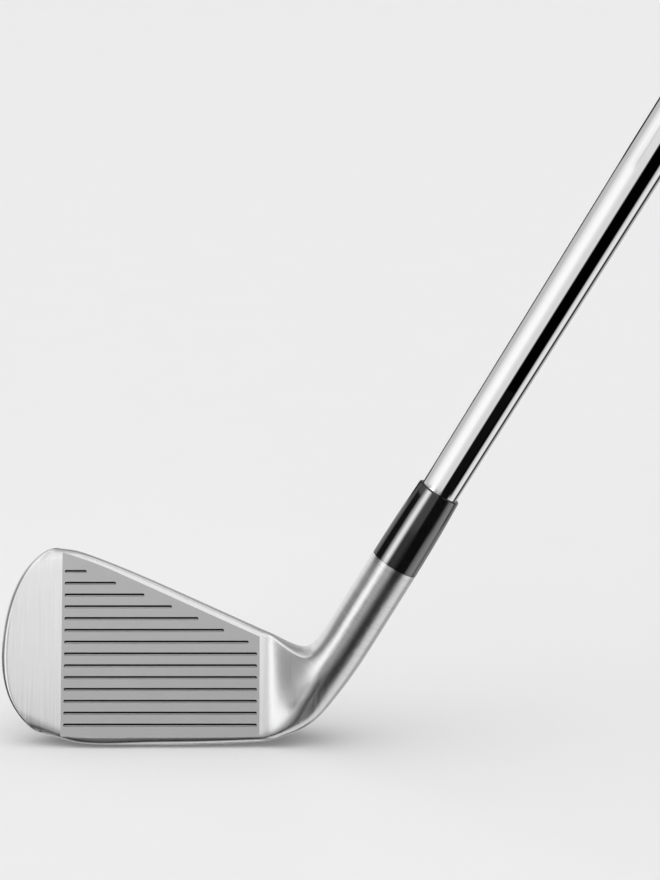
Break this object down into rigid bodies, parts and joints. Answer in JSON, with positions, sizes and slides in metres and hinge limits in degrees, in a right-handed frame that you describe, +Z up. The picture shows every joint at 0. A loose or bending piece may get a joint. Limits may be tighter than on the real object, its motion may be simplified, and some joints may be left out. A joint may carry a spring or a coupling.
{
  "type": "iron golf club",
  "caption": "Long iron golf club with a hollow forged head, a welded grooved face plate, a stepped chrome steel shaft, a black ferrule and a rubber grip.",
  "frame": {"origin": "lowest point of the sole, on the ground plane, below the middle of the scoring area", "axes": "+Z up at address, +X from the toe to the heel and along the shaft's lean, -Y towards the target: the face looks along -Y"},
  "size_m": [0.5931, 0.0338, 0.8457],
  "materials": {
    "satin_steel": "satin brushed chrome plate",
    "face_steel": "fine media-blasted scoring area",
    "foam": "cured foam",
    "dense_metal": "sintered",
    "screw_steel": "turned",
    "badge_aluminium": "dark anodised, brushed",
    "tape": "double-sided adhesive",
    "ferrule_black": "polished",
    "epoxy": "cured",
    "shaft_chrome": "mirror chrome plate",
    "band": "plain decal film",
    "grip_rubber": "moulded, matte",
    "cap_rubber": "moulded, satin"
  },
  "bodies": {
    "root": {"head_body": "satin_steel", "face_plate": "face_steel", "foam_core": "foam", "toe_weight": "dense_metal", "port_screw": "screw_steel", "back_badge": "badge_aluminium", "badge_tape": "tape", "ferrule": "ferrule_black", "hosel_epoxy": "epoxy", "tip_weight": "dense_metal", "shaft": "shaft_chrome", "shaft_band": "band", "grip_tape": "tape", "grip_sleeve": "grip_rubber", "grip_cap": "cap_rubber"}
  },
  "joints": []
}
